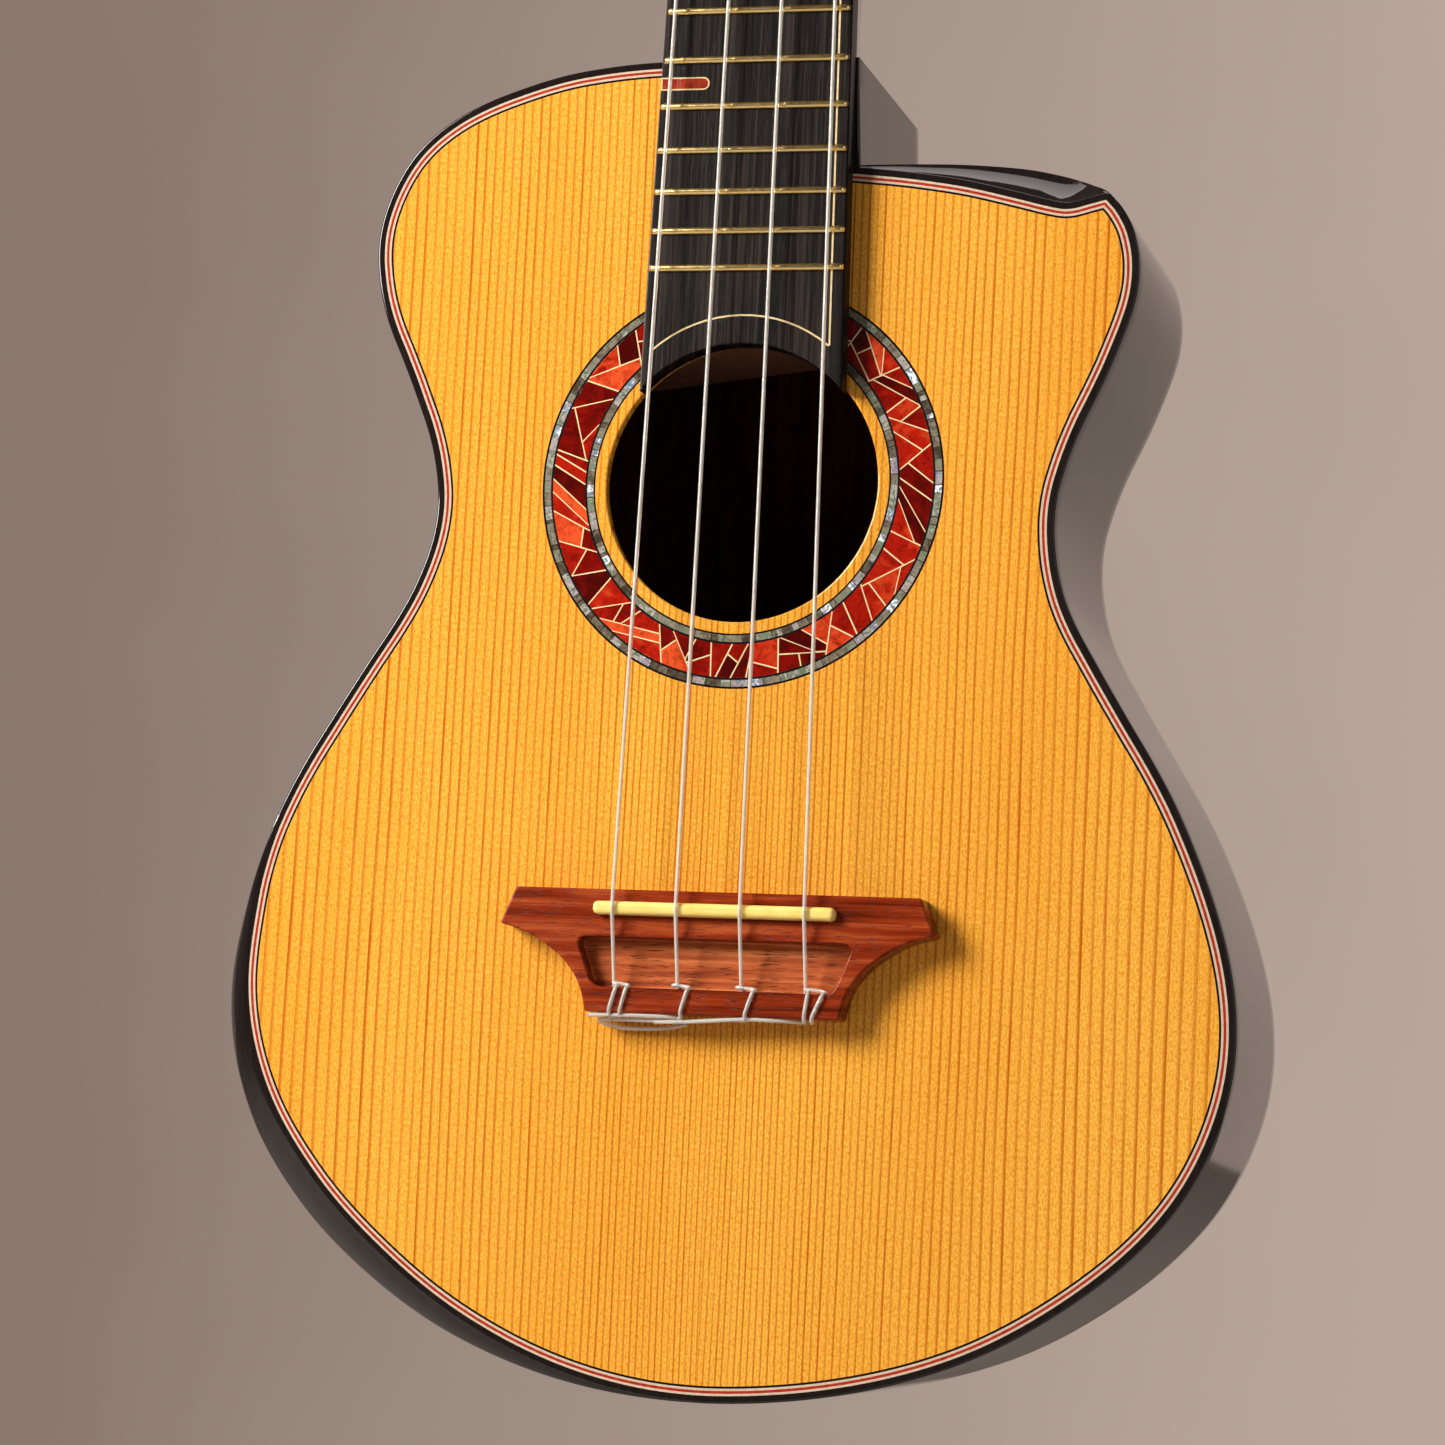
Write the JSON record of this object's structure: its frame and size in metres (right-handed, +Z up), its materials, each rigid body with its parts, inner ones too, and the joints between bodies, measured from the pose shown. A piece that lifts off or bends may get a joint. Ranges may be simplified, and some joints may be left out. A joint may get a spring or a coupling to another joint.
{
  "type": "tenor ukulele",
  "caption": "Cutaway tenor ukulele with a bevelled body edge, round sound hole with rosette, tie bridge, inlaid fretboard and geared side tuners.",
  "frame": {"origin": "on the centre line, at the nut's lower edge, in the plane of the soundboard", "axes": "+X to the right seen from the front, +Y from the front to the back, +Z up along the neck"},
  "size_m": [0.2327, 0.0759, 0.6736],
  "materials": {
    "cedar": "gloss lacquer over straight grain",
    "dark_wood": "gloss lacquer",
    "black_wood": "gloss lacquer",
    "fretboard_wood": "oiled, matte, fine grain",
    "bridge_wood": "satin rosewood",
    "neck_wood": "gloss lacquer",
    "inner_wood": "bare planed wood",
    "block_wood": "bare planed wood",
    "white_line": "under lacquer",
    "red_line": "dyed veneer under lacquer",
    "mosaic": "dyed and cross-cut veneer under lacquer",
    "shell": "shell under lacquer",
    "gold_line": "under the fretboard's surface",
    "marker_red": "polished flush",
    "fret_wire": "polished",
    "gold_plate": "polished",
    "gear_brass": "machined",
    "rod_steel": "ground",
    "bone": "polished",
    "saddle_bone": "polished",
    "clear_string": "smooth and clear",
    "button_black": "polished"
  },
  "bodies": {
    "instrument": {"soundboard": "cedar", "back": "dark_wood", "sides": "dark_wood", "neck": "neck_wood", "heel_cap": "black_wood", "headstock_veneer": "black_wood", "neck_block": "block_wood", "tail_block": "block_wood", "top_linings": "inner_wood", "back_linings": "inner_wood", "soundboard_braces": "inner_wood", "back_braces": "inner_wood", "bridge_plate": "block_wood", "neck_rod": "rod_steel", "top_binding": "black_wood", "back_binding": "black_wood", "white_purfling": "white_line", "red_purfling": "red_line", "black_purfling": "black_wood", "arm_bevel": "black_wood", "cutaway_bevel": "black_wood", "rosette_mosaic": "mosaic", "rosette_shell": "shell", "rosette_lines": "black_wood", "fretboard": "fretboard_wood", "frets": "fret_wire", "pinstripe": "gold_line", "fret_markers": "marker_red", "nut": "bone", "saddle": "saddle_bone", "bridge": "bridge_wood", "string_g": "clear_string", "string_c": "clear_string", "string_e": "clear_string", "string_a": "clear_string", "tuner_plates": "gold_plate", "tuner_bushings": "gold_plate", "tuner_screws": "gold_plate"},
    "tuner_shaft_g": {"button_g": "button_black", "worm_g": "gear_brass"},
    "string_post_g": {"post_g": "gold_plate", "gear_g": "gear_brass", "winding_g": "clear_string"},
    "tuner_shaft_c": {"button_c": "button_black", "worm_c": "gear_brass"},
    "string_post_c": {"post_c": "gold_plate", "gear_c": "gear_brass", "winding_c": "clear_string"},
    "tuner_shaft_e": {"button_e": "button_black", "worm_e": "gear_brass"},
    "string_post_e": {"post_e": "gold_plate", "gear_e": "gear_brass", "winding_e": "clear_string"},
    "tuner_shaft_a": {"button_a": "button_black", "worm_a": "gear_brass"},
    "string_post_a": {"post_a": "gold_plate", "gear_a": "gear_brass", "winding_a": "clear_string"}
  },
  "joints": [
    {"name": "button_turn_g", "type": "hinge", "parent": "instrument", "child": "tuner_shaft_g", "pos_m": [-0.019, 0.02631, 0.04516], "axis": [-1, 0, 0], "continuous": true},
    {"name": "post_turn_g", "type": "hinge", "parent": "instrument", "child": "string_post_g", "pos_m": [-0.019, 0.00855, 0.04203], "axis": [0, 0.9744, -0.225], "continuous": true},
    {"name": "button_turn_c", "type": "hinge", "parent": "instrument", "child": "tuner_shaft_c", "pos_m": [-0.019, 0.03756, 0.09388], "axis": [-1, 0, 0], "continuous": true},
    {"name": "post_turn_c", "type": "hinge", "parent": "instrument", "child": "string_post_c", "pos_m": [-0.019, 0.0198, 0.09074], "axis": [0, 0.9744, -0.225], "continuous": true},
    {"name": "button_turn_e", "type": "hinge", "parent": "instrument", "child": "tuner_shaft_e", "pos_m": [0.019, 0.03756, 0.09388], "axis": [1, 0, 0], "continuous": true},
    {"name": "post_turn_e", "type": "hinge", "parent": "instrument", "child": "string_post_e", "pos_m": [0.019, 0.0198, 0.09074], "axis": [0, 0.9744, -0.225], "continuous": true},
    {"name": "button_turn_a", "type": "hinge", "parent": "instrument", "child": "tuner_shaft_a", "pos_m": [0.019, 0.02631, 0.04516], "axis": [1, 0, 0], "continuous": true},
    {"name": "post_turn_a", "type": "hinge", "parent": "instrument", "child": "string_post_a", "pos_m": [0.019, 0.00855, 0.04203], "axis": [0, 0.9744, -0.225], "continuous": true}
  ],
  "couplings": [
    {"joint": "post_turn_g", "follows": "button_turn_g", "ratio": -0.071429},
    {"joint": "post_turn_c", "follows": "button_turn_c", "ratio": -0.071429},
    {"joint": "post_turn_e", "follows": "button_turn_e", "ratio": -0.071429},
    {"joint": "post_turn_a", "follows": "button_turn_a", "ratio": -0.071429}
  ]
}
